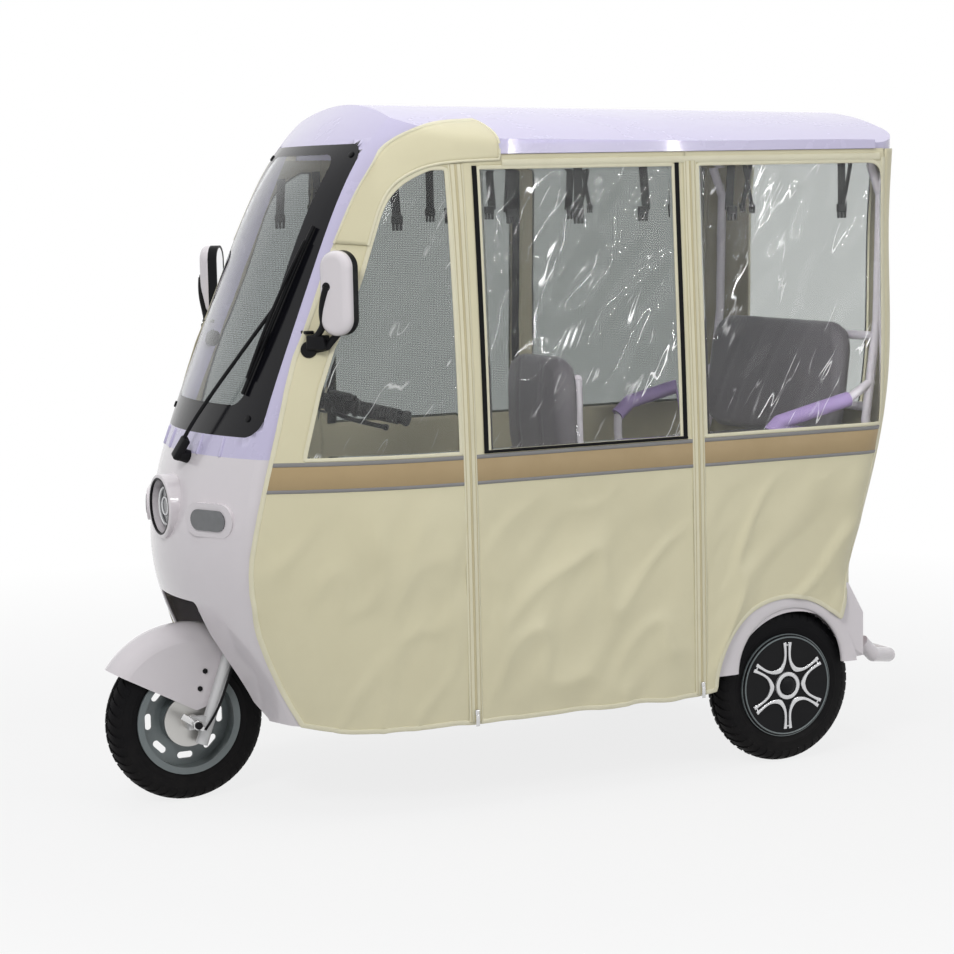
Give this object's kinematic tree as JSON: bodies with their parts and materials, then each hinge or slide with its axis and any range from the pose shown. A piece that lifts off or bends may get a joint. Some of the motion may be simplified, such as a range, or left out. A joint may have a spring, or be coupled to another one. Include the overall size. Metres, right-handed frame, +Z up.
{
  "type": "covered electric tricycle",
  "caption": "Covered electric tricycle for passengers: rounded nose with curved windscreen, hard roof, zipped cloth sides with clear panes, handlebar steering and spinning wheels.",
  "frame": {"origin": "centre of the bounding box at ground level, under the wheels", "axes": "+Y to the back of the vehicle, +X to its left side, +Z up"},
  "size_m": [0.9766, 2.137, 1.7583],
  "materials": {
    "body_white": "gloss paint, white with a pink tint",
    "body_lilac": "gloss paint, lilac",
    "black_trim": "satin black plastic",
    "screen_glass": "clear curved screen",
    "lamp_glass": "fluted lamp lens",
    "red_lens": "red lamp lens",
    "mirror_glass": "mirror",
    "cover_cloth": "cream coated cloth",
    "clear_sheet": "clear soft sheet",
    "dark_steel": "black paint",
    "pale_tube": "pale gloss paint",
    "purple_foam": "soft foam",
    "seat_cover": "grey leatherette",
    "silver_paint": "silver paint",
    "cast_alloy": "cast aluminium",
    "grip_rubber": "ribbed rubber",
    "tyre": "black rubber",
    "rim_steel": "grey paint"
  },
  "bodies": {
    "chassis": {"nose_shell": "body_white", "rear_body": "body_white", "dash_panel": "body_white", "dash_cowl": "body_white", "floor_mat": "grip_rubber", "rear_bumper": "body_white", "windscreen_surround": "body_lilac", "roof_panel": "body_lilac", "windscreen_border": "black_trim", "windscreen_glass": "screen_glass", "headlamp_bezel": "body_white", "headlamp_lens": "lamp_glass", "indicator_bezels": "body_white", "indicator_lenses": "lamp_glass", "tail_lamps": "red_lens", "mirror_caps": "body_white", "mirror_housings": "black_trim", "mirror_glasses": "mirror_glass", "cover_fronts": "cover_cloth", "cover_doors": "cover_cloth", "cover_rears": "cover_cloth", "cover_back": "cover_cloth", "side_panes": "clear_sheet", "back_pane": "clear_sheet", "chassis_frame": "dark_steel", "floor_pan": "black_trim", "leg_shield": "black_trim", "rear_axle": "dark_steel", "leaf_springs": "dark_steel", "battery_box": "black_trim", "cabin_frame": "pale_tube", "driver_frame": "pale_tube", "armrest_sleeves": "purple_foam", "driver_cushion": "seat_cover", "driver_backrest": "seat_cover", "bench_base": "black_trim", "bench_cushion": "seat_cover", "bench_backrest": "seat_cover"},
    "steering": {"fork": "silver_paint", "brake_plate": "cast_alloy", "front_fender": "body_white", "handlebar": "dark_steel", "grips": "grip_rubber"},
    "front_wheel": {"front_tyre": "tyre", "front_rim": "rim_steel"},
    "rear_wheel_left": {"rear_tyre_left": "tyre", "rear_rim_left": "rim_steel", "hubcap_left": "black_trim"},
    "rear_wheel_right": {"rear_tyre_right": "tyre", "rear_rim_right": "rim_steel", "hubcap_right": "black_trim"}
  },
  "joints": [
    {"name": "steering_turn", "type": "hinge", "parent": "chassis", "child": "steering", "pos_m": [0, -0.8215, 0.207], "axis": [0, 0.342, 0.9397], "range_deg": [-35, 35]},
    {"name": "front_wheel_spin", "type": "hinge", "parent": "steering", "child": "front_wheel", "pos_m": [0, -0.8615, 0.207], "axis": [1, 0, 0], "continuous": true},
    {"name": "rear_left_spin", "type": "hinge", "parent": "chassis", "child": "rear_wheel_left", "pos_m": [0.417, 0.6685, 0.207], "axis": [1, 0, 0], "continuous": true},
    {"name": "rear_right_spin", "type": "hinge", "parent": "chassis", "child": "rear_wheel_right", "pos_m": [-0.417, 0.6685, 0.207], "axis": [1, 0, 0], "continuous": true}
  ]
}
